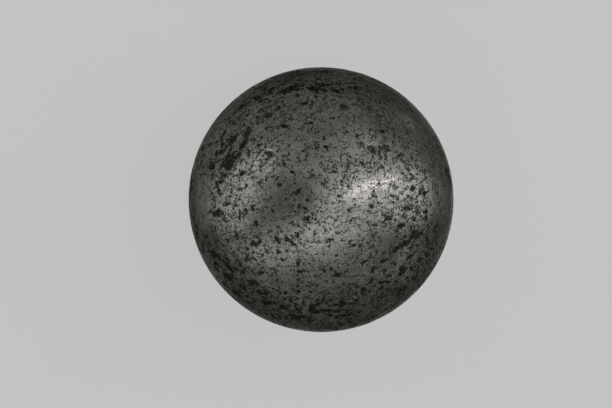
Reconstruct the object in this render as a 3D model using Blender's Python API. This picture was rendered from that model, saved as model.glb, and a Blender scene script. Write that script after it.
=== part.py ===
"""A solid steel ball, turned out in one piece.

The ball is a true sphere with no seam, groove, hole or fitting. Its centre is the origin and
+Z is up, so it stands on its lowest point. Run with blender --background --python part.py.
"""

import bpy
import bmesh

# Driving dimension, in metres
BALL_DIAMETER = 0.050

# How round the solid is: each step after the first cuts every triangle into four
SURFACE_STEPS = 5

# Worn bare steel, as linear colour values
STEEL_COLOUR = (0.16, 0.16, 0.15, 1.0)
STEEL_ROUGHNESS = 0.35
STEEL_METALLIC = 1.0


def clear_scene():
    """Remove every object that the scene starts with."""
    for thing in list(bpy.data.objects):
        bpy.data.objects.remove(thing, do_unlink=True)


def steel_material():
    """Bare steel, dulled all over by fine pits."""
    material = bpy.data.materials.new("pitted_steel")
    material.use_nodes = True
    shader = material.node_tree.nodes["Principled BSDF"]
    shader.inputs["Base Color"].default_value = STEEL_COLOUR
    shader.inputs["Roughness"].default_value = STEEL_ROUGHNESS
    shader.inputs["Metallic"].default_value = STEEL_METALLIC
    return material


def make_ball(material):
    """The ball itself, made of triangles of nearly one size so that it is equally round all over."""
    shape = bmesh.new()
    bmesh.ops.create_icosphere(shape, subdivisions=SURFACE_STEPS, radius=BALL_DIAMETER / 2)
    mesh = bpy.data.meshes.new("ball")
    shape.to_mesh(mesh)
    shape.free()
    mesh.shade_smooth()
    mesh.materials.append(material)
    ball = bpy.data.objects.new("ball", mesh)
    bpy.context.scene.collection.objects.link(ball)
    return ball


clear_scene()
make_ball(steel_material())
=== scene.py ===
"""Looks of the worn steel ball: its pitted surface, its finish, the floor, the light and the camera.

The camera looks straight down at the ball, which rests on a plain pale floor. The picture's right is
+X and its top is +Y.
"""

import math

import bpy
import numpy as np
from mathutils import Matrix, Vector, kdtree


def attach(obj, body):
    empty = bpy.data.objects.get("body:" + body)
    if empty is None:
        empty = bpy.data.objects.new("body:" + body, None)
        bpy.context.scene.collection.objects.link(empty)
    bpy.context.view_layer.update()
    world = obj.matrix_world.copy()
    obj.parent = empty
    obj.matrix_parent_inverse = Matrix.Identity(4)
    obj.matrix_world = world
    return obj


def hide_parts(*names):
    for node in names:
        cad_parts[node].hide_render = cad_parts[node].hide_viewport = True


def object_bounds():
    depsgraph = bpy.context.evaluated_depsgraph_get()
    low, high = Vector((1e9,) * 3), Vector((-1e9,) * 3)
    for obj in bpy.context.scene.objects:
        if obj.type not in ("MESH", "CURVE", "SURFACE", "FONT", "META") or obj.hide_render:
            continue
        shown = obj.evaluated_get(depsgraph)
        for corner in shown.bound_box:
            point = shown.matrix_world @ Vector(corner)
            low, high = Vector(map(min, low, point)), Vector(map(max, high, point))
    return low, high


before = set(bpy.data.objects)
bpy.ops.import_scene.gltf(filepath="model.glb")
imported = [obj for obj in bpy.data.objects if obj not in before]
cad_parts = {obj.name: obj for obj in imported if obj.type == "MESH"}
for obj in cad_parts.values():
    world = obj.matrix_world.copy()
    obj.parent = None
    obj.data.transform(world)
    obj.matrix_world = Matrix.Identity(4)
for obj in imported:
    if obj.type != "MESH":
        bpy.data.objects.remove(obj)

cad_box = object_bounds()
low, high = (Vector(corner) for corner in cad_box)

MM = 0.001
CENTRE = (low + high) / 2
RADIUS = (high.z - low.z) / 2
BALL_NODE = "ball"
SEED = 11

# How far towards Y a direction may point before the level direction beside it is taken from Z
NEARLY_Y = 0.95

# The picture, in pixels of its own 612 x 408 frame, and the ball's middle and size in it
PICTURE_WIDTH = 612
PICTURE_HEIGHT = 408
BALL_X_PX = 321.0
BALL_Y_PX = 199.6
BALL_RADIUS_PX = 132.5

# The camera, above the ball's centre
CAMERA_RADII = 20
CAMERA_DISTANCE = CAMERA_RADII * RADIUS
SENSOR_WIDTH = 36.0
CLIP_START = RADIUS
CLIP_END = 400 * RADIUS

# Surface mesh: a cube blown up to a ball, with this many squares along each side of its six faces.
# Corners of faces that agree to so many digits are one point. The flat map has the faces in columns
# and rows, with a margin round each, as a share of the face.
SQUARES_A_SIDE = 128
MERGE_DIGITS = 7
MAP_COLUMNS = 3
MAP_ROWS = 2
MAP_MARGIN = 0.012
CUBE_FACES = (
    ((1, 0, 0), (0, 1, 0), (0, 0, 1)),
    ((0, 1, 0), (0, 0, 1), (1, 0, 0)),
    ((0, 0, 1), (1, 0, 0), (0, 1, 0)),
    ((-1, 0, 0), (0, 0, 1), (0, 1, 0)),
    ((0, -1, 0), (1, 0, 0), (0, 0, 1)),
    ((0, 0, -1), (0, 1, 0), (1, 0, 0)),
)

# Marks on the side that the picture shows, as they look from the camera, in millimetres of the
# ball's own outline: right and up of its middle, length, width, turn in degrees, strength.
# A strength over 0 is a blot of merged pits, and one under 0 a stretch with fewer pits.
# Those along the highlight and at the left and right edges are painted highlight: fewer pits brighten the
# reflections.
FRONT_MARKS_AND_PAINTED_HIGHLIGHTS = (
    (-17.3, 7.4, 3.0, 1.7, 85, 1.15),
    (-18.7, 6.6, 1.3, 0.8, 30, 1),
    (-14.1, 12.5, 2.3, 0.8, 72, 1),
    (-14.9, 10.2, 2.3, 0.7, 60, 1),
    (-16.9, 11.2, 2.8, 0.8, 50, 0.9),
    (-12.8, 11.4, 1.1, 0.8, 0, 1.1),
    (-10.0, 15.9, 1.7, 1.1, -20, 0.9),
    (-7.1, 13.9, 2.5, 0.7, -5, 1.1),
    (-2.2, 14.6, 1.7, 0.5, 5, 0.8),
    (-1.9, 16.0, 0.9, 0.6, -10, 0.9),
    (-14.7, 17.6, 1.7, 0.5, 35, 0.8),
    (-12.0, 19.2, 1.1, 0.9, 0, 0.9),
    (-9.7, 20.4, 1.1, 0.9, 20, 0.9),
    (-11.8, 21.2, 1.7, 0.5, 35, 0.7),
    (-5.8, 21.1, 3.8, 0.8, 25, 1),
    (-1.2, 20.9, 2.5, 0.8, -5, 0.8),
    (-6.9, 6.5, 1.3, 0.7, -75, 0.9),
    (-9.3, 8.4, 2.3, 0.8, -15, 0.7),
    (-2.8, 9.6, 2.6, 0.5, 27, 0.8),
    (-1.1, 9.5, 1.1, 0.5, -70, 0.8),
    (-7.9, 2.9, 1.3, 0.7, -20, 0.9),
    (-2.4, 5.0, 1.9, 0.5, -30, 0.8),
    (-4.5, 1.2, 0.8, 0.8, 0, 0.8),
    (-18.4, 4.6, 1.9, 0.6, 0, 0.8),
    (-15.1, 5.0, 0.8, 0.8, 0, 0.9),
    (-18.6, 12.2, 2.5, 0.5, 65, 0.8),
    (-19.7, 2.3, 2.1, 0.7, -75, 0.8),
    (-21.0, 6.2, 1.1, 0.6, 60, 0.7),
    (9.6, 9.4, 1.9, 1.5, 0, 1.05),
    (11.8, 9.7, 1.9, 1.1, -10, 0.95),
    (12.0, 8.3, 1.5, 0.5, 90, 0.8),
    (5.1, 6.9, 1.5, 1.5, 0, 0.75),
    (7.7, 6.7, 1.3, 0.6, -85, 0.9),
    (17.9, 6.3, 1.1, 0.7, -40, 0.9),
    (19.3, 5.3, 0.9, 0.7, -20, 0.8),
    (1.0, 9.6, 1.1, 0.6, 90, 0.9),
    (4.8, 12.8, 0.8, 0.6, 0, 0.8),
    (4.1, 17.7, 1.5, 0.9, -45, 0.9),
    (11.6, 12.9, 1.3, 0.6, 0, 0.8),
    (0.5, 11.9, 1.5, 0.6, 75, 0.8),
    (2.5, 20.7, 1.9, 0.6, -20, 0.9),
    (15.2, 8.5, 1.1, 0.4, 0, 0.8),
    (15.0, 7.6, 0.9, 0.6, -60, 0.8),
    (10.6, 15.7, 0.9, 0.6, -30, 0.7),
    (0.8, 21.6, 2.6, 0.5, 0, 0.8),
    (19.2, 1.6, 1.5, 0.9, -70, 0.7),
    (19.9, 1.3, 1.1, 0.5, 30, 0.7),
    (17.2, 2.0, 1.0, 0.8, 30, 0.75),
    (15.9, 4.4, 1.3, 0.5, -30, 0.8),
    (-19.4, -2.5, 1.3, 1.1, 90, 0.95),
    (-21.1, -2.5, 1.7, 0.9, 0, 0.7),
    (-20.3, -10.2, 1.7, 0.9, -60, 0.7),
    (-21.8, -7.3, 1.7, 0.9, -60, 0.6),
    (-17.1, -12.7, 4.5, 0.9, -25, 0.5),
    (-17.7, -14.6, 1.9, 1.1, -10, 1.1),
    (-13.1, -15.6, 1.7, 1.1, 20, 0.9),
    (-14.9, -16.7, 1.1, 0.9, 0, 0.9),
    (-12.5, -7.0, 1.5, 0.5, 25, 0.9),
    (-10.7, -6.3, 2.3, 0.3, 15, 0.6),
    (-5.8, -8.0, 3.0, 0.5, -42, 0.8),
    (-8.3, -9.9, 1.0, 0.6, 80, 0.9),
    (-8.4, -7.5, 1.1, 0.7, -70, 0.9),
    (-0.9, -8.1, 2.3, 0.4, -5, 1),
    (-4.8, -2.5, 1.1, 0.8, 20, 0.75),
    (-2.6, -3.6, 0.8, 0.8, 0, 0.85),
    (-16.1, -6.8, 1.1, 0.6, -80, 0.8),
    (-12.7, -8.4, 0.9, 0.7, -20, 0.9),
    (-11.5, -13.9, 1.3, 0.8, 20, 0.9),
    (-10.3, -19.4, 1.7, 0.7, -5, 1),
    (-10.8, -17.8, 1.7, 0.4, 10, 0.7),
    (-7.2, -20.4, 1.7, 0.8, -20, 1),
    (-4.8, -22.2, 1.3, 0.9, -40, 0.9),
    (-3.3, -22.1, 1.7, 0.5, 0, 0.8),
    (-1.5, -21.2, 1.9, 0.8, 0, 0.9),
    (-15.9, -17.8, 1.9, 0.9, -40, 0.7),
    (-12.5, -4.5, 0.8, 0.7, -45, 0.8),
    (15.0, -8.8, 3.4, 0.8, 27, 1),
    (17.2, -7.0, 3.0, 0.5, 52, 0.8),
    (17.9, -6.7, 1.3, 0.9, 90, 1),
    (16.6, -10.9, 1.7, 0.6, 38, 1),
    (15.2, -13.3, 1.3, 0.8, 75, 1.2),
    (9.8, -13.3, 1.3, 0.6, 50, 1),
    (12.0, -13.5, 1.3, 0.5, 25, 0.9),
    (11.8, -11.6, 1.1, 0.7, 10, 0.9),
    (11.9, -15.6, 2.6, 0.5, 0, 1),
    (7.9, -17.2, 1.3, 0.7, 60, 1),
    (4.1, -19.7, 1.3, 0.9, -20, 1.2),
    (1.0, -21.0, 3.2, 0.5, 3, 0.9),
    (7.1, -21.4, 0.9, 0.6, 0, 0.8),
    (10.7, -20.5, 1.1, 0.6, 0, 0.7),
    (15.0, -17.2, 2.3, 0.8, 40, 0.4),
    (12.1, -3.3, 1.5, 0.6, -58, 1),
    (21.6, -5.5, 2.6, 0.9, 85, 0.9),
    (9.0, -9.2, 1.9, 0.5, 42, 0.8),
    (5.8, -8.9, 1.7, 0.5, 25, 0.8),
    (10.0, -4.9, 2.3, 0.4, -2, 0.9),
    (1.0, -7.6, 2.1, 0.3, 15, 0.8),
    (5.2, -2.1, 0.9, 0.8, 0, 0.8),
    (9.3, -1.3, 0.8, 0.8, 0, 0.8),
    (2.9, -14.4, 1.1, 0.6, 0, 0.8),
    (14.9, -5.0, 1.5, 0.8, 20, 0.9),
    (20.1, -10.5, 0.9, 0.8, 0, 0.7),
    (-5.6, 1.2, 0.9, 0.7, 90, 0.8),
    (-5.2, 2.9, 0.8, 0.6, 0, 0.7),
    (-5.8, 2.4, 0.8, 0.5, -10, 0.7),
    (-3.7, 2.2, 0.8, 0.5, 50, 0.6),
    (-2.7, -0.3, 1.1, 0.7, -40, 1),
    (-5.6, -1.1, 1.1, 0.6, -10, 1),
    (-4.1, -1.3, 0.8, 0.8, 0, 1),
    (-3.2, -1.7, 1.1, 0.5, -50, 1),
    (-6.3, -3.1, 1.1, 0.5, 0, 1),
    (-7.2, -3.5, 0.9, 0.5, -40, 0.9),
    (-5.5, -4.5, 1.1, 0.7, -40, 1),
    (-8.2, -5.2, 0.8, 0.6, -40, 1),
    (-8.1, -1.1, 0.6, 0.6, 0, 0.7),
    (-7.1, 0.7, 0.6, 0.6, 0, 0.7),
    (-10.9, -2.2, 0.8, 0.6, 0, 0.7),
    (-12.4, -4.6, 1.3, 0.7, -60, 0.9),
    (0.8, 2.1, 0.7, 0.7, 0, 0.7),
    (2.2, 5.4, 1.5, 0.8, -20, 0.7),
    (0.8, 5.3, 0.9, 0.5, -40, 0.7),
    (-1.6, 4.5, 0.8, 0.6, 0, 0.8),
    (-3.7, 7.2, 1.7, 0.5, 20, 0.7),
    (-5.5, 5.0, 1.3, 0.5, -30, 0.7),
    (3.8, 3.6, 0.8, 0.5, 90, 1),
    (3.1, 0.4, 0.9, 0.8, 30, 0.6),
    (0.8, -0.7, 1.5, 0.5, -10, 0.6),
    (-7.2, 8.2, 0.8, 0.6, 40, 1),
    (3.3, 6.8, 1.9, 0.5, -12, 0.7),
    (1.2, -7.8, 1.9, 0.4, 15, 0.6),
    (3.0, -6.5, 1.1, 0.6, 40, 0.8),
    (4.6, -5.6, 0.8, 0.6, 90, 0.7),
    (-4.8, -6.6, 1.1, 0.9, -10, 0.7),
    (7.0, -7.9, 0.8, 0.6, 90, 0.7),
    (5.2, -8.2, 0.8, 0.6, -30, 0.8),
    (8.0, -11.9, 1.7, 0.6, 25, 0.7),
    (0.3, -10.4, 0.8, 0.6, 0, 0.8),
    (-1.5, -11.4, 0.7, 0.6, 0, 0.7),
    (0.3, -13.4, 0.9, 0.6, -60, 0.8),
    (2.8, -14.5, 1.1, 0.6, 20, 0.8),
    (-3.3, -13.5, 1.1, 0.8, -20, 0.7),
    (-4.5, -11.7, 0.9, 0.8, 0, 0.8),
    (5.0, -12.5, 0.9, 0.6, 20, 0.7),
    (2.7, -10.6, 0.8, 0.5, 0, 0.6),
    (-8.6, -7.3, 1.1, 0.6, 80, 0.65),
    (-8.3, -9.8, 0.8, 0.6, 90, 0.65),
    (-7.5, -10.1, 0.7, 0.6, 0, 0.65),
    (-14.2, -9.7, 0.8, 0.6, -20, 0.65),
    (-12.6, -8.4, 0.9, 0.8, 0, 0.65),
    (-14.2, -11.3, 1.3, 0.8, 10, 0.65),
    (-12.8, -11.2, 1.1, 0.6, 0, 0.65),
    (-15.6, -11.5, 1.3, 0.6, 20, 0.65),
    (-7.7, -11.3, 0.9, 0.5, -30, 0.8),
    (-5.8, -8.3, 0.9, 0.6, -30, 0.65),
    (-8.8, -13.6, 0.9, 0.5, 10, 0.7),
    (-16.0, -7.2, 1.1, 0.6, 90, 0.7),
    (13.9, 2.5, 1.5, 0.5, -20, 0.8),
    (13.1, 0.7, 0.9, 0.6, 0, 0.8),
    (15.4, -3.1, 1.1, 0.5, -5, 0.8),
    (18.2, -2.5, 1.3, 0.8, 0, 0.7),
    (16.7, -1.7, 1.3, 0.6, -45, 0.7),
    (19.6, -2.3, 0.9, 0.8, 0, 0.6),
    (15.0, -5.0, 1.7, 0.8, 10, 0.7),
    (19.5, 0.3, 1.3, 0.6, -80, 0.75),
    (9.2, -1.3, 0.9, 0.8, 0, 0.6),
    (9.9, 3.2, 0.8, 0.6, 0, 0.7),
    (-13.7, 8.7, 1.3, 0.7, 80, 0.65),
    (-15.6, 8.4, 0.9, 0.7, 10, 0.9),
    (-10.3, 8.8, 1.3, 0.6, 0, 0.9),
    (-8.1, 6.7, 0.7, 0.6, 0, 0.9),
    (-13.1, 6.2, 0.8, 0.5, 0, 0.65),
    (-13.2, 5.4, 1.3, 0.6, -10, 0.65),
    (-15.0, 4.9, 1.1, 0.6, 80, 0.65),
    (-11.8, 10.4, 1.3, 0.6, 10, 0.65),
    (-19.1, 9.0, 1.1, 0.8, 30, 0.9),
    (-20.7, 6.0, 0.9, 0.8, 60, 0.8),
    (-15.5, 1.9, 1.1, 0.7, 15, 0.8),
    (-13.1, 4.0, 1.1, 0.5, 0, 0.6),
    (-14.5, -2.1, 0.7, 0.6, 0, 0.8),
    (-18.0, -0.8, 1.1, 0.7, -20, 0.65),
    (-16.6, -1.1, 0.9, 0.7, -20, 0.65),
    (-15.6, -3.4, 0.8, 0.6, 0, 0.8),
    (-15.6, 10.2, 8.7, 3.4, 60, 0.28),
    (-6.9, 18.1, 10.6, 3.8, 22, 0.12),
    (-17.8, -13.4, 11.3, 3.8, -45, 0.25),
    (15.4, -8.1, 7.5, 4.2, 45, 0.22),
    (-3.9, -20.0, 13.2, 3.4, -8, 0.1),
    (-0.1, -8.5, 13.2, 5.7, 25, -0.2),
    # The stretch along the highlight and those at the left and right edges are painted highlight.
    (9.3, 2.5, 10.6, 3.0, 22, -0.5),
    (-22.5, -1.1, 11.3, 2.3, 90, -0.8),
    (17.5, 15.3, 9.4, 6.4, -50, -0.6),
    (11.2, 19.1, 11.7, 3.8, -35, -0.2),
    (19.9, 8.3, 9.4, 4.5, -70, -0.5),
    (23.3, -1.1, 11.3, 3.8, 90, -0.9),
    (9.3, -3.6, 2.3, 1.7, 30, -0.5),
    (-11.8, 12.8, 3.4, 2.6, 60, -0.35),
)

# Stretches of metal that are brighter (over 0) or duller (under 0) than the rest, given the same way
# These are partly polish and tarnish, and partly painted reflection and painted shade.
FRONT_POLISH_AND_PAINTED_LIGHT = (
    # The first five rows are painted reflection along the right and left edges.
    (19.5, 1.0, 7.5, 3.0, 88, 1),
    (19.7, -3.4, 2.6, 2.3, 0, 0.6),
    (-19.9, -0.2, 8.7, 3.0, 85, 0.9),
    (23.7, -1.1, 15.1, 1.9, 90, 0.25),
    (-23.7, 5.9, 13.2, 1.9, 86, 0.8),
    (-20.8, 11.5, 9.8, 3.0, 62, 0.9),
    (-19.7, -14.5, 9.4, 2.3, -52, 0.8),
    (15.4, -10.7, 5.7, 1.7, 68, 1),
    (9.2, 11.1, 2.1, 1.7, 0, 1.3),
    (16.1, 15.1, 3.4, 1.5, -40, 1.2),
    (-20.7, -7.5, 4.2, 2.6, -70, -1),
    (-17.3, 5.9, 2.6, 2.3, 0, -0.6),
    (21.2, -6.2, 7.5, 2.6, 75, -1),
    (-0.8, -21.5, 17.0, 4.2, 0, -0.4),
    (7.1, -18.5, 14.3, 3.8, 10, -0.75),
    (-11.4, -17.5, 9.4, 3.0, -32, -0.7),
    (15.9, -14.7, 11.3, 3.8, 45, -0.1),
    (20.3, 7.8, 7.5, 3.0, -68, -0.8),
    (12.5, -17.3, 5.7, 2.6, 20, -0.6),
    (12.5, -10.5, 4.9, 3.0, 50, -0.6),
    (18.4, -8.3, 2.6, 1.5, 20, -0.6),
    (-11.0, -8.1, 11.3, 4.9, -20, -0.25),
    (-19.5, -3.9, 4.5, 1.3, 0, 0.9),
    (-12.0, -9.8, 3.4, 2.6, 0, 0.8),
    (-12.0, 12.8, 3.0, 2.6, 60, 0.5),
    (-3.3, 5.7, 9.4, 2.6, 5, 0.5),
    (5.6, 17.0, 5.3, 4.2, 0, 0.6),
    (22.0, -10.4, 7.5, 1.5, 60, 0.6),
    (2.5, 22.7, 7.5, 1.9, -4, 0.5),
    (-11.4, -1.9, 6.8, 1.9, -15, 0.3),
    (10.3, 9.3, 6.4, 3.0, 10, 0.3),
    (20.3, 13.4, 4.5, 1.9, -55, 0.5),
    (-22.4, -9.0, 3.8, 1.5, -65, 0.4),
    (-8.4, -21.1, 6.4, 1.9, -15, -0.5),
    (17.6, -1.9, 3.0, 1.9, 20, -0.5),
    (15.8, 12.1, 4.5, 2.6, -30, -0.4),
    (14.6, -14.7, 3.0, 3.0, 60, 0.4),
    (-15.4, -13.6, 3.8, 2.3, -30, 0.5),
    (-8.0, -6.0, 3.0, 2.5, 0, 0.5),
    (3.7, -19.4, 4.9, 2.3, 15, 0.4),
    (8.6, 22.8, 7.5, 1.5, -17, 0.6),
    (-4.2, 24.0, 8.3, 1.3, 6, -0.6),
    (-14.6, 10.6, 4.9, 1.7, 65, -0.4),
    (21.0, -5.6, 4.5, 1.5, 68, -0.6),
    (8.6, -20.5, 5.7, 1.7, 8, -0.4),
    (1.8, -16.4, 8.3, 1.9, 0, -0.4),
    (-3.9, 18.1, 6.8, 2.3, 0, 0.35),
    (11.2, 17.6, 17.4, 7.2, -36, -1),
    (-2.9, 22.5, 17.0, 1.9, 5, -0.5),
    (-7.5, -1.5, 6.0, 4.9, 45, -0.3),
)

# A mark is full in its middle and fades with distance, which is counted in half lengths along it and
# half widths across it and then squared. Past its reach, in lengths, it adds nothing.
MARK_FALL = 0.7
MARK_POWER = 1.5
MARK_REACH = 1.1

# Marks made up for the rest of the ball, which no picture shows: lengths in millimetres, widths as
# shares of the length, and the share of them that are blots. The others are smooth stretches, which
# are longer and wider by these factors.
OTHER_MARKS = 230
OTHER_MARKS_BELOW = 0.30 * RADIUS
OTHER_LENGTHS = (1.0, 3.4)
OTHER_WIDTHS = (0.3, 0.9)
OTHER_STRENGTHS = (0.5, 1.0)
BLOT_SHARE = 0.86
SMOOTH_STRENGTH = -0.7
SMOOTH_LENGTHENS = 2.5
SMOOTH_WIDENS = 3.0

# Real dents: one under each blot, and thousands of small ones, sizes and depths in millimetres
BLOT_DEPTH = 0.05
DENT_COUNT = 4200
DENT_SIZES = (0.7, 1.6)
DENT_DEPTHS = (0.004, 0.02)
DENT_WIDTHS = (0.5, 1.0)

# Steel and oxide, as linear colour values
STEEL = (0.170, 0.169, 0.151, 1.0)
STEEL_DULL = (0.112, 0.110, 0.098, 1.0)
STEEL_BRIGHT = (0.255, 0.253, 0.231, 1.0)
OXIDE = (0.0130, 0.0121, 0.0102, 1.0)
OXIDE_PALE_AND_PAINTED_SHADE = (0.034, 0.032, 0.028, 1.0)
EDGE_TINT = (0.31, 0.31, 0.305, 1.0)

# Noises in the steel: waves a millimetre, detail and roughness
SLOW_NOISE = (0.10, 2.0, 0.5)
CLUSTER_NOISE = (0.42, 3.0, 0.65)
BEND_NOISE = (2.0, 3.0, 0.7)
EDGE_NOISE = (4.8, 2.0, 0.7)
GRAIN_NOISE = (2.6, 3.0, 0.7)
TONE_NOISE = (0.35, 4.0, 0.6)
SHEEN_NOISE = (4.2, 2.0, 0.7)
RUST_NOISE = (1.5, 3.0, 0.7)
RIPPLE_NOISE = (3.4, 2.0, 0.6)

# Below the first height the metal grows duller and more pitted, fully so below the other: partly
# wear, and partly painted shade that darkens the rims seen from above
WEAR_AND_SHADE_STARTS = 0.92 * RADIUS
WEAR_AND_SHADE_FULL = 0.55 * RADIUS

# How crowded the pits are: a base, and the weight of each thing that adds to it. Large pits take a
# share of that crowding, and more of the marks and of the wear and painted rim shade.
CROWD_BASE = -0.98
CROWD_BY_SLOW = 0.40
CROWD_BY_CLUSTER = 1.4
CROWD_BY_MARKS = 0.9
CROWD_BY_WEAR_AND_SHADE = 0.285
LARGE_BY_CROWD = 0.55
LARGE_BY_MARKS = 0.45
LARGE_BY_WEAR_AND_SHADE = 0.21

# Pits, one to a cell at most: cells a millimetre, and in cells the least size and what chance and
# crowding add to it. Cells are bent by a noise, and another makes the pits' edges ragged.
SMALL_PITS = {"scale": 1.9, "least": -0.025, "by_chance": 0.52, "by_crowd": 0.38}
LARGE_PITS = {"scale": 0.85, "least": -0.19, "by_chance": 0.50, "by_crowd": 0.62}
CELL_BEND = (1.1, 1.1, 1.1)
RAGGED = 0.7
PIT_EDGE = (-0.02, 0.06)

# Lines along the borders between cells: cells a millimetre, the distances from the border at which a
# line begins and is full, the noise that breaks it, the values at which it comes back, its strength
STROKES = {"scale": 0.75, "line": (0.090, 0.030), "noise": (0.9, 2.0, 0.6), "back": (0.48, 0.56),
           "strength": 1.0}
THREADS = {"scale": 1.6, "line": (0.150, 0.050), "noise": (1.3, 2.0, 0.6), "back": (0.52, 0.60),
           "strength": 0.75}
LINES_BY_CROWD = 0.12

# A faint mottle in the grain, and stains on the marks
MOTTLE_BY_CROWD = 0.10
MOTTLE_RANGE = (-0.50, -0.34)
MOTTLE_STRENGTH = 0.32
STAIN_BASE = -0.9
STAIN_BY_GRAIN = 1.2
STAIN_BY_EDGE = 0.6
STAIN_RANGE = (0.42, 0.80)
STAIN_STRENGTH = 0.80

# Metal between the pits: where its tone, its fine sheen and the rust change from one colour to the
# next, how much of the brighter colour a patch of polish and painted reflection takes, and how much
# of the darker one a patch of tarnish and painted shade takes
TONE_BY_WEAR_AND_SHADE = -0.06
TONE_BY_POLISH_AND_PAINTED_LIGHT = 0.14
TONE_RANGE = (0.34, 0.56)
POLISH_AND_HIGHLIGHT_SHARE = 0.8
TARNISH_AND_SHADE_SHARE = 0.6
SHEEN_DULL = (0.48, 0.36)
SHEEN_BRIGHT = (0.52, 0.66)
RUST_RANGE = (0.46, 0.62)

# Roughness of the metal from dull to bright sheen, and what a pit adds to it
ROUGH_SHEEN = (0.35, 0.65)
ROUGH_METAL = (0.22, 0.15)
ROUGH_PIT = 0.38

# Bump: the ripple's height as a share of a pit's depth, and that depth
RIPPLE_SHARE = 0.30
BUMP_DEPTH = 0.022 * MM

# Light from all round: its level at the horizon and overhead, its tint, and a dimmer patch
LIGHT_LEVEL = 0.47
LIGHT_OVERHEAD = 0.68
WORLD_TINT = (1.0, 1.0, 0.995, 1.0)
HOOD_DIRECTION = tuple(Vector((-0.64, -0.08, 0.76)).normalized())
HOOD_EDGE = (0.75, 0.96)
HOOD_DIM = 0.42

# The floor: far from the ball it fades to the light of the horizon, and under the ball it keeps the
# shadow, apart from the share that stays open
PALE = (0.540, 0.540, 0.538, 1.0)
LEVEL_WORLD = (*(LIGHT_LEVEL * part for part in WORLD_TINT[:3]), 1.0)
FLOOR_SIZE = 60 * RADIUS
FLOOR_NEAR = 6 * RADIUS
FLOOR_FAR = 26 * RADIUS
SHADOW_INSIDE = 0.5 * RADIUS
SHADOW_OUTSIDE = 1.02 * RADIUS
OPEN_SHADOW = 0.13
SATIN_COLOUR = (1.0, 1.0, 1.0, 1.0)
SATIN_ROUGHNESS = 0.3
SATIN_IOR = 1.5

# Soft boxes: name, bearing from +X, angle from overhead, length, width, turn, brightness and tint,
# with angles in degrees and sizes in metres. The fade is its end and its start, in side lengths from
# a box's middle.
COOL = (0.93, 0.885, 1.0)
NEUTRAL = (1.0, 0.99, 0.985)
LAMP_DISTANCE = 0.6
LAMP_MIDDLE = (0.5, 0.5, 0.0)
LAMP_FADE = (0.5, 0.1)
LAMPS = (
    ("key_strip", 15, 45, 0.92, 0.085, 93, 5.4, COOL),
    ("front_left", 232, 46, 1.90, 0.57, 65, 0.77, NEUTRAL),
    ("front", 329, 27, 1.90, 0.79, -14, 0.70, NEUTRAL),
    ("right", 5, 90, 1.60, 0.58, 102, 1.90, NEUTRAL),
    ("left", 170, 71, 1.50, 0.71, -40, 1.28, NEUTRAL),
    ("back_right", 33, 41, 1.80, 0.92, 96, 0.58, NEUTRAL),
)


def unit(vector):
    """The vector at length one."""
    return vector / np.linalg.norm(vector)


def direction(around, down):
    """The direction at a bearing from +X and an angle down from overhead, both in radians."""
    return (math.sin(down) * math.cos(around), math.sin(down) * math.sin(around), math.cos(down))


def random_direction(random):
    """A direction taken evenly from the whole ball."""
    return unit(random.normal(size=3))


def tangent(outward, turn):
    """A direction along the surface, turned from the level one that exists nearly everywhere."""
    side = np.array((0.0, 1.0, 0.0) if abs(outward[1]) < NEARLY_Y else (0.0, 0.0, 1.0))
    level = unit(np.cross(side, outward))
    return level * math.cos(turn) + np.cross(outward, level) * math.sin(turn)


def add_object(name, data):
    """A new object of the scene that shows the data."""
    thing = bpy.data.objects.new(name, data)
    bpy.context.scene.collection.objects.link(thing)
    return thing


def cube_ball(squares):
    """A ball of squares of nearly one size: its points, its squares and their places on a flat map."""
    steps = np.tan(np.linspace(-1.0, 1.0, squares + 1) * math.pi / 4)
    across, along = np.meshgrid(steps, steps, indexing="ij")
    corner = np.arange(squares)
    first, second = (grid.ravel() for grid in np.meshgrid(corner, corner, indexing="ij"))
    ring = ((0, 0), (1, 0), (1, 1), (0, 1))
    squares_here = np.stack([(first + a) * (squares + 1) + second + b for a, b in ring], axis=1)
    places_here = np.stack([np.stack([first + a, second + b], axis=1) / squares for a, b in ring], axis=1)
    places_here = MAP_MARGIN + (1 - 2 * MAP_MARGIN) * places_here
    points, faces, places = [], [], []
    for index, axes in enumerate(CUBE_FACES):
        out, right, up = (np.array(axis) for axis in axes)
        grid = (out + across[..., None] * right + along[..., None] * up).reshape(-1, 3)
        points.append(grid / np.linalg.norm(grid, axis=1)[:, None])
        faces.append(squares_here + index * (squares + 1) ** 2)
        cell = (index % MAP_COLUMNS, index // MAP_COLUMNS)
        places.append((places_here + cell) / (MAP_COLUMNS, MAP_ROWS))
    points, faces, places = (np.concatenate(part) for part in (points, faces, places))
    firsts, back = np.unique(
        np.round(points, MERGE_DIGITS), axis=0, return_index=True, return_inverse=True
    )[1:]
    return points[firsts], back.reshape(-1)[faces], places.reshape(-1, 2)


def seen_mark(right, up, length, width, turn):
    """Lays a mark that is given as the camera sees it on the ball.

    Gives its outward direction, its long direction, its length and its width.
    """
    at_camera = math.atan(math.hypot(right, up) * MM / RADIUS / math.sqrt(CAMERA_RADII ** 2 - 1))
    tilt = math.asin(CAMERA_RADII * math.sin(at_camera)) - at_camera
    outward = np.array(direction(math.atan2(up, right), tilt))
    turn = math.radians(turn)
    seen = np.array((math.cos(turn), math.sin(turn)))
    along = np.array((*seen, -(outward[:2] @ seen) / outward[2]))
    across = np.cross(outward, unit(along))
    narrowing = abs(across[1] * seen[0] - across[0] * seen[1])
    return outward, unit(along), length * MM * np.linalg.norm(along), width * MM / narrowing


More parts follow.
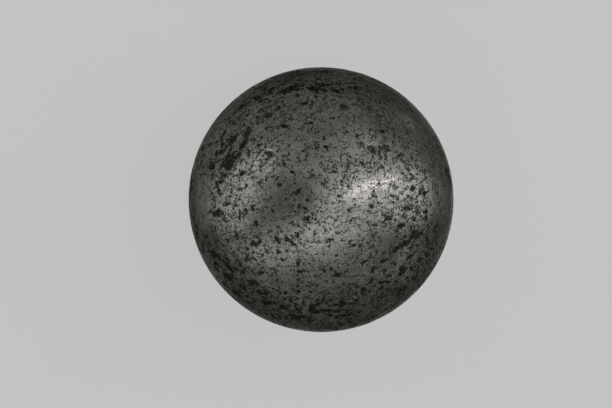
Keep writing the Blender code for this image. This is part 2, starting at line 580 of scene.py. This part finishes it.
class Surface:
    """The ball's points, with a search for those near a mark."""

    def __init__(self, directions):
        self.points = directions * RADIUS
        self.finder = kdtree.KDTree(len(self.points))
        for index, point in enumerate(self.points):
            self.finder.insert(point, index)
        self.finder.balance()

    def nothing(self):
        """A field that is zero at every point."""
        return np.zeros(len(self.points))

    def add_mark(self, field, outward, along, length, width, strength):
        """Adds one mark to the field: full in its middle, and fading at its edge."""
        middle = outward * RADIUS
        across = np.cross(outward, along)
        reach = MARK_REACH * max(length, width)
        near = [index for _, index, _ in self.finder.find_range(Vector(middle), reach)]
        away = self.points[near] - middle
        distance = (away @ along / (length / 2)) ** 2 + (away @ across / (width / 2)) ** 2
        field[near] += strength * np.exp(-MARK_FALL * distance ** MARK_POWER)


def add_other_marks(surface, marks, random):
    """Adds the made-up blots and smooth stretches of the sides and the underside."""
    for _ in range(OTHER_MARKS):
        outward = random_direction(random)
        length = MM * random.uniform(*OTHER_LENGTHS)
        width = length * random.uniform(*OTHER_WIDTHS)
        turn = random.uniform(0, math.pi)
        is_blot = random.random() < BLOT_SHARE
        strength = random.uniform(*OTHER_STRENGTHS) if is_blot else SMOOTH_STRENGTH
        if not is_blot:
            length, width = length * SMOOTH_LENGTHENS, width * SMOOTH_WIDENS
        if outward[2] * RADIUS < OTHER_MARKS_BELOW:
            surface.add_mark(marks, outward, tangent(outward, turn), length, width, strength)


def small_dents(surface, random):
    """How deep the small dents are at each point."""
    dents = surface.nothing()
    for _ in range(DENT_COUNT):
        outward = random_direction(random)
        size = MM * random.uniform(*DENT_SIZES)
        depth = MM * random.uniform(*DENT_DEPTHS)
        width = size * random.uniform(*DENT_WIDTHS)
        along = tangent(outward, random.uniform(0, math.pi))
        surface.add_mark(dents, outward, along, size, width, depth)
    return dents


def make_ball():
    """The ball's visible surface, dented, with its marks and its polish and painted light kept at each
    point.
    """
    directions, squares, places = cube_ball(SQUARES_A_SIDE)
    surface = Surface(directions)
    marks, polish_and_painted_light = surface.nothing(), surface.nothing()
    for field, rows in ((marks, FRONT_MARKS_AND_PAINTED_HIGHLIGHTS), (polish_and_painted_light, FRONT_POLISH_AND_PAINTED_LIGHT)):
        for *seen, strength in rows:
            surface.add_mark(field, *seen_mark(*seen), strength)
    random = np.random.default_rng(SEED)
    add_other_marks(surface, marks, random)
    dents = np.clip(marks, 0, 1) * BLOT_DEPTH * MM + small_dents(surface, random)
    points = surface.points - directions * dents[:, None]

    mesh = bpy.data.meshes.new("ball_surface")
    mesh.from_pydata(points + np.array(CENTRE), [], squares.tolist())
    flat_map = mesh.uv_layers.new(name="OFBake")
    flat_map.data.foreach_set("uv", places.astype(np.float32).ravel())
    for name, value in (("marks", marks), ("polish_and_painted_light", polish_and_painted_light)):
        kept = mesh.attributes.new(name, "FLOAT", "POINT")
        kept.data.foreach_set("value", np.clip(value, -1, 1).astype(np.float32))
    mesh.shade_smooth()
    mesh.update()
    return add_object("ball_surface", mesh)


class Nodes:
    """Adds nodes to one tree, each wired to the sockets or set to the values that it is given."""

    def __init__(self, owner):
        owner.use_nodes = True
        self.tree = owner.node_tree
        self.tree.nodes.clear()

    def add(self, kind, inputs=(), **settings):
        node = self.tree.nodes.new(kind)
        for name, value in settings.items():
            setattr(node, name, value)
        for name, value in dict(inputs).items():
            if isinstance(value, bpy.types.NodeSocket):
                self.tree.links.new(value, node.inputs[name])
            else:
                node.inputs[name].default_value = value
        return node

    def math(self, operation, first, second):
        return self.add("ShaderNodeMath", {0: first, 1: second}, operation=operation).outputs[0]

    def vector(self, operation, *values, output=0, **named):
        """A vector operation on the values in their order, and on those given by their socket's name."""
        inputs = {**dict(enumerate(values)), **named}
        return self.add("ShaderNodeVectorMath", inputs, operation=operation).outputs[output]

    def weighted(self, *terms):
        """The sum of each value times its weight."""
        total = 0.0
        for value, weight in terms:
            inputs = {0: value, 1: weight, 2: total}
            total = self.add("ShaderNodeMath", inputs, operation="MULTIPLY_ADD").outputs[0]
        return total

    def largest(self, first, *others):
        """The largest of the values."""
        for other in others:
            first = self.math("MAXIMUM", first, other)
        return first

    def ramp(self, value, low, high, to_low=0.0, to_high=1.0, shape="SMOOTHSTEP"):
        """Takes low to high to to_low to to_high, smoothly unless told, and goes no further."""
        inputs = {"Value": value, "From Min": low, "From Max": high, "To Min": to_low, "To Max": to_high}
        return self.add("ShaderNodeMapRange", inputs, interpolation_type=shape).outputs["Result"]

    def mix(self, factor, first, second):
        """The first colour at factor 0 and the second at 1. Sockets 6 and 7 are the node's colours."""
        return self.add("ShaderNodeMix", {0: factor, 6: first, 7: second}, data_type="RGBA").outputs[2]

    def noise(self, place, scale, detail, roughness, output="Fac"):
        inputs = {"Vector": place, "Scale": scale, "Detail": detail, "Roughness": roughness}
        return self.add("ShaderNodeTexNoise", inputs).outputs[output]

    def specks(self, place, crowd, edge, scale, least, by_chance, by_crowd):
        """Ragged spots of every size up to a cell, larger and closer together where it is crowded."""
        cells = self.add("ShaderNodeTexVoronoi", {"Vector": place, "Scale": scale})
        chance = self.add("ShaderNodeSeparateColor", {0: cells.outputs["Color"]}).outputs[0]
        size = self.weighted(
            (chance, by_chance), (crowd, by_crowd), (edge, RAGGED), (1.0, least - RAGGED / 2)
        )
        return self.ramp(self.math("SUBTRACT", size, cells.outputs["Distance"]), *PIT_EDGE)

    def lines(self, place, bent, crowd, scale, line, noise, back, strength):
        """Fine lines along the borders between cells, broken by a noise."""
        cells = self.add(
            "ShaderNodeTexVoronoi", {"Vector": bent, "Scale": scale}, feature="DISTANCE_TO_EDGE"
        )
        unbroken = self.ramp(cells.outputs["Distance"], *line)
        whole = self.weighted((self.noise(place, *noise), 1.0), (crowd, LINES_BY_CROWD))
        return self.math("MULTIPLY", unbroken, self.ramp(whole, *back, 0.0, strength))


def pit_cover(make, place, marks, wear_and_rim_shade):
    """How far each point is covered by pits: ragged spots of two sizes, lines, mottle and stains."""
    slow = make.noise(place, *SLOW_NOISE)
    cluster = make.noise(place, *CLUSTER_NOISE)
    crowd = make.weighted(
        (slow, CROWD_BY_SLOW), (cluster, CROWD_BY_CLUSTER), (marks, CROWD_BY_MARKS),
        (wear_and_rim_shade, CROWD_BY_WEAR_AND_SHADE), (1.0, CROWD_BASE)
    )
    crowd_large = make.weighted((crowd, LARGE_BY_CROWD), (marks, LARGE_BY_MARKS), (wear_and_rim_shade, LARGE_BY_WEAR_AND_SHADE))
    bend = make.noise(place, *BEND_NOISE, output="Color")
    bent = make.vector("MULTIPLY_ADD", bend, CELL_BEND, place)
    edge = make.noise(place, *EDGE_NOISE)
    grain = make.noise(place, *GRAIN_NOISE)
    mottle = make.weighted((grain, -1.0), (crowd, MOTTLE_BY_CROWD))
    stain = make.weighted((marks, 1.0), (grain, STAIN_BY_GRAIN), (edge, STAIN_BY_EDGE), (1.0, STAIN_BASE))
    return make.largest(
        make.specks(bent, crowd, edge, **SMALL_PITS),
        make.specks(bent, crowd_large, edge, **LARGE_PITS),
        make.lines(place, bent, crowd, **STROKES),
        make.lines(place, bent, crowd, **THREADS),
        make.ramp(mottle, *MOTTLE_RANGE, 0.0, MOTTLE_STRENGTH),
        make.ramp(stain, *STAIN_RANGE, 0.0, STAIN_STRENGTH),
    )


def metal_colour(make, place, wear_and_rim_shade, painted_light_and_polish, sheen):
    """The colour between the pits: patches of polish and painted reflection, patches of tarnish and
    painted shade, and a fine grain.
    """
    tone = make.noise(place, *TONE_NOISE)
    tone = make.weighted((tone, 1.0), (wear_and_rim_shade, TONE_BY_WEAR_AND_SHADE), (painted_light_and_polish, TONE_BY_POLISH_AND_PAINTED_LIGHT))
    metal = make.mix(make.ramp(tone, *TONE_RANGE), STEEL_DULL, STEEL)
    # Brighter patches are partly painted reflection, darker ones partly painted shade.
    metal = make.mix(make.ramp(painted_light_and_polish, 0.0, 1.0, 0.0, POLISH_AND_HIGHLIGHT_SHARE), metal, STEEL_BRIGHT)
    metal = make.mix(make.ramp(painted_light_and_polish, 0.0, -1.0, 0.0, TARNISH_AND_SHADE_SHARE), metal, OXIDE_PALE_AND_PAINTED_SHADE)
    metal = make.mix(make.ramp(sheen, *SHEEN_DULL), metal, STEEL_DULL)
    return make.mix(make.ramp(sheen, *SHEEN_BRIGHT), metal, STEEL_BRIGHT)


def steel_material():
    """Worn steel: dark oxide in thousands of fine angular pits, with polished metal between them."""
    material = bpy.data.materials.new("pitted_steel")
    make = Nodes(material)
    place = make.add("ShaderNodeTexCoord").outputs["Object"]
    up = make.add("ShaderNodeSeparateXYZ", {0: place}).outputs["Z"]
    # Duller and more pitted lower down: partly wear, and partly painted shade on the rims.
    wear_and_rim_shade = make.ramp(up, WEAR_AND_SHADE_STARTS, WEAR_AND_SHADE_FULL)
    marks = make.add("ShaderNodeAttribute", attribute_name="marks").outputs["Fac"]
    # Brighter and duller stretches: partly polish and tarnish, and partly painted reflection and painted
    # shade.
    painted_light_and_polish = make.add("ShaderNodeAttribute", attribute_name="polish_and_painted_light").outputs["Fac"]
    millimetres = make.vector("SCALE", place, Scale=1 / MM)

    pits = pit_cover(make, millimetres, marks, wear_and_rim_shade)
    sheen = make.noise(millimetres, *SHEEN_NOISE)
    metal = metal_colour(make, millimetres, wear_and_rim_shade, painted_light_and_polish, sheen)
    rust = make.noise(millimetres, *RUST_NOISE)
    oxide = make.mix(make.ramp(rust, *RUST_RANGE), OXIDE, OXIDE_PALE_AND_PAINTED_SHADE)

    roughness = make.ramp(sheen, *ROUGH_SHEEN, *ROUGH_METAL)
    roughness = make.math("ADD", roughness, make.math("MULTIPLY", pits, ROUGH_PIT))
    ripple = make.noise(millimetres, *RIPPLE_NOISE)
    height = make.weighted((ripple, RIPPLE_SHARE), (pits, -1.0))
    bump = make.add("ShaderNodeBump", {"Strength": 1.0, "Distance": BUMP_DEPTH, "Height": height})
    shader = make.add("ShaderNodeBsdfPrincipled", {
        "Base Color": make.mix(pits, metal, oxide),
        "Roughness": roughness,
        "Normal": bump.outputs["Normal"],
        "Metallic": 1.0,
        "Specular Tint": EDGE_TINT,
    })
    make.add("ShaderNodeOutputMaterial", {"Surface": shader.outputs[0]})
    return material


def floor_material():
    """Plain pale floor. Seen directly or in metal it is mostly its own even colour, with a soft shadow."""
    material = bpy.data.materials.new("pale_floor")
    make = Nodes(material)
    place = make.add("ShaderNodeTexCoord").outputs["Object"]
    reach = make.vector("LENGTH", place, output="Value")
    far = make.ramp(reach, FLOOR_NEAR, FLOOR_FAR)
    path = make.add("ShaderNodeLightPath").outputs
    seen = make.largest(path["Is Camera Ray"], path["Is Glossy Ray"], path["Is Transmission Ray"])
    beside = make.ramp(reach, SHADOW_INSIDE, SHADOW_OUTSIDE, 0.0, 1.0 - OPEN_SHADOW)
    share = make.math("MULTIPLY", seen, make.largest(beside, far))
    diffuse = make.add("ShaderNodeBsdfDiffuse", {"Color": PALE})
    even = make.add("ShaderNodeEmission", {"Color": make.mix(far, PALE, LEVEL_WORLD), "Strength": 1.0})
    plain = make.add("ShaderNodeMixShader", {0: share, 1: diffuse.outputs[0], 2: even.outputs[0]})

    # Metal also sees the floor gleam at flat angles, as far as the floor keeps its own colour
    gleam = make.add("ShaderNodeFresnel", {"IOR": SATIN_IOR}).outputs[0]
    gleam = make.math("MULTIPLY", gleam, path["Is Glossy Ray"])
    gleam = make.math("MULTIPLY", gleam, make.ramp(reach, FLOOR_FAR, FLOOR_NEAR))
    satin = make.add("ShaderNodeBsdfAnisotropic", {"Color": SATIN_COLOUR, "Roughness": SATIN_ROUGHNESS})
    surface = make.add("ShaderNodeMixShader", {0: gleam, 1: plain.outputs[0], 2: satin.outputs[0]})
    make.add("ShaderNodeOutputMaterial", {"Surface": surface.outputs[0]})
    return material


def make_floor():
    """The floor that the ball rests on."""
    half = FLOOR_SIZE / 2
    corners = [(-half, -half, 0), (half, -half, 0), (half, half, 0), (-half, half, 0)]
    mesh = bpy.data.meshes.new("floor")
    mesh.from_pydata(corners, [], [(0, 1, 2, 3)])
    mesh.materials.append(floor_material())
    floor = add_object("floor", mesh)
    floor.location = (CENTRE.x, CENTRE.y, low.z)
    return floor


def make_world():
    """Plain pale light from all round, a little stronger from overhead apart from one dimmer patch."""
    world = bpy.data.worlds.new("studio")
    bpy.context.scene.world = world
    make = Nodes(world)
    towards = make.add("ShaderNodeTexCoord").outputs["Generated"]
    climb = make.add("ShaderNodeSeparateXYZ", {0: towards}).outputs["Z"]
    strength = make.ramp(climb, 0.0, 1.0, LIGHT_LEVEL, LIGHT_OVERHEAD, "LINEAR")
    at_hood = make.vector("DOT_PRODUCT", towards, HOOD_DIRECTION, output="Value")
    strength = make.math("MULTIPLY", strength, make.ramp(at_hood, *HOOD_EDGE, 1.0, HOOD_DIM))
    background = make.add("ShaderNodeBackground", {"Color": WORLD_TINT, "Strength": strength})
    make.add("ShaderNodeOutputWorld", {"Surface": background.outputs[0]})


def soften(lamp):
    """Makes a lamp brightest in its middle, fading to nothing at its edge."""
    make = Nodes(lamp)
    place = make.add("ShaderNodeTexCoord").outputs["UV"]
    away = make.vector("SUBTRACT", place, LAMP_MIDDLE)
    reach = make.vector("LENGTH", away, output="Value")
    emission = make.add("ShaderNodeEmission", {"Strength": make.ramp(reach, *LAMP_FADE)})
    make.add("ShaderNodeOutputLight", {"Surface": emission.outputs[0]})


def add_lamp(name, around, down, length, width, turn, radiance, tint):
    """A soft box that faces the ball.

    Its turn is its long side's angle from the line that runs level round the ball, and its radiance
    is how bright its middle looks.
    """
    around, down, turn = (math.radians(angle) for angle in (around, down, turn))
    outward = Vector(direction(around, down))
    level = Vector((-math.sin(around), math.cos(around), 0))
    long_side = level * math.cos(turn) + outward.cross(level) * math.sin(turn)
    lamp = bpy.data.lights.new(name, "AREA")
    lamp.shape = "RECTANGLE"
    lamp.size = length
    lamp.size_y = width
    lamp.energy = radiance * math.pi * length * width
    lamp.color = tint
    soften(lamp)
    thing = add_object(name, lamp)
    sides = Matrix((long_side, outward.cross(long_side), outward)).transposed()
    thing.matrix_world = Matrix.Translation(CENTRE + outward * LAMP_DISTANCE) @ sides.to_4x4()
    thing.visible_camera = False


def make_camera():
    """Looks straight down, with the ball as large and as far off centre as in the picture."""
    focal_px = BALL_RADIUS_PX * math.sqrt(CAMERA_DISTANCE ** 2 - RADIUS ** 2) / RADIUS
    metres_a_px = CAMERA_DISTANCE / focal_px
    camera = bpy.data.cameras.new("camera")
    camera.sensor_fit = "HORIZONTAL"
    camera.sensor_width = SENSOR_WIDTH
    camera.lens = focal_px * SENSOR_WIDTH / PICTURE_WIDTH
    camera.clip_start = CLIP_START
    camera.clip_end = CLIP_END
    thing = add_object("camera", camera)
    thing.location = CENTRE + Vector((
        (PICTURE_WIDTH / 2 - BALL_X_PX) * metres_a_px,
        (BALL_Y_PX - PICTURE_HEIGHT / 2) * metres_a_px,
        CAMERA_DISTANCE,
    ))
    bpy.context.scene.camera = thing


bpy.context.scene.view_settings.view_transform = "Standard"

ball = make_ball()
ball.data.materials.append(steel_material())
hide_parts(BALL_NODE)
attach(ball, "root")
make_floor()
make_world()
for row in LAMPS:
    add_lamp(*row)
make_camera()
